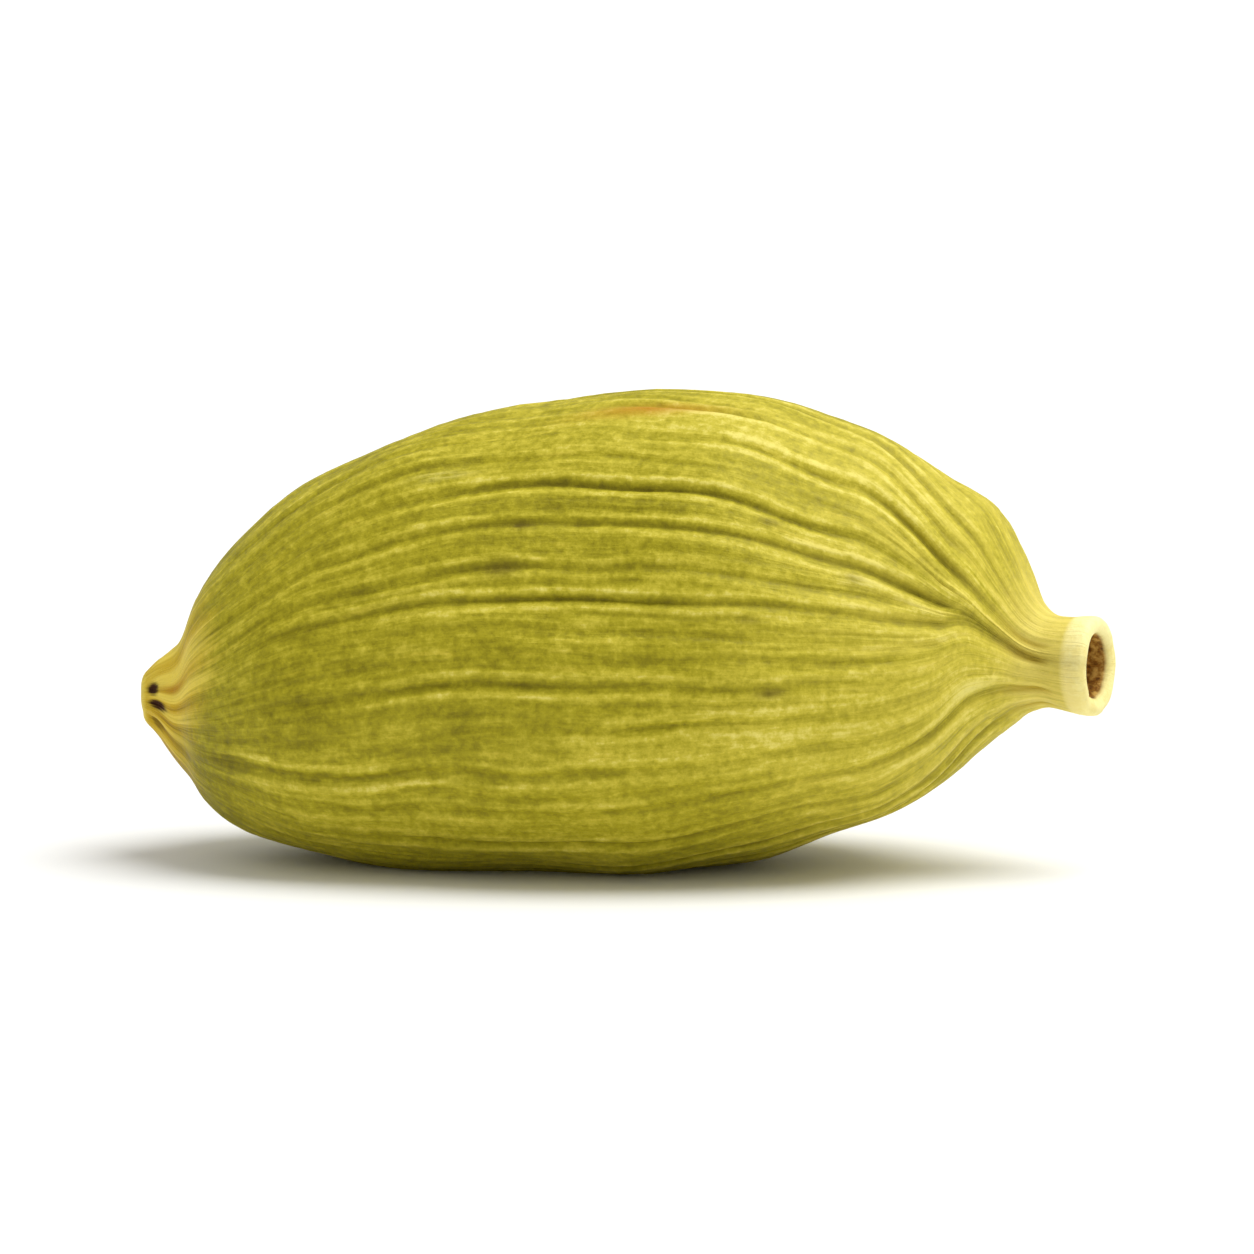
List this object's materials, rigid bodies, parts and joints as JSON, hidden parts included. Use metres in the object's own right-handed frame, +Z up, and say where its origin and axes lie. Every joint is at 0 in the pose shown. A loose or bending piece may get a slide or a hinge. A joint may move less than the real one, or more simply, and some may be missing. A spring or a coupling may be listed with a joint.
{
  "type": "green cardamom pod",
  "caption": "Closed, dried, ribbed oval seed pod with a small blunt tip at one end and a pale, flared, hollow stalk collar at the other.",
  "frame": {"origin": "on the surface the pod rests on, below the middle of its bounding box", "axes": "+X along the pod from its small tip to its hollow collar, +Z up with the pod lying on one of its three flattened sides, +Y to the far side, away from the side that the collar leans to"},
  "size_m": [0.0166, 0.0084, 0.008],
  "materials": {
    "husk": "matte"
  },
  "bodies": {
    "root": {"pod": "husk"}
  },
  "joints": []
}
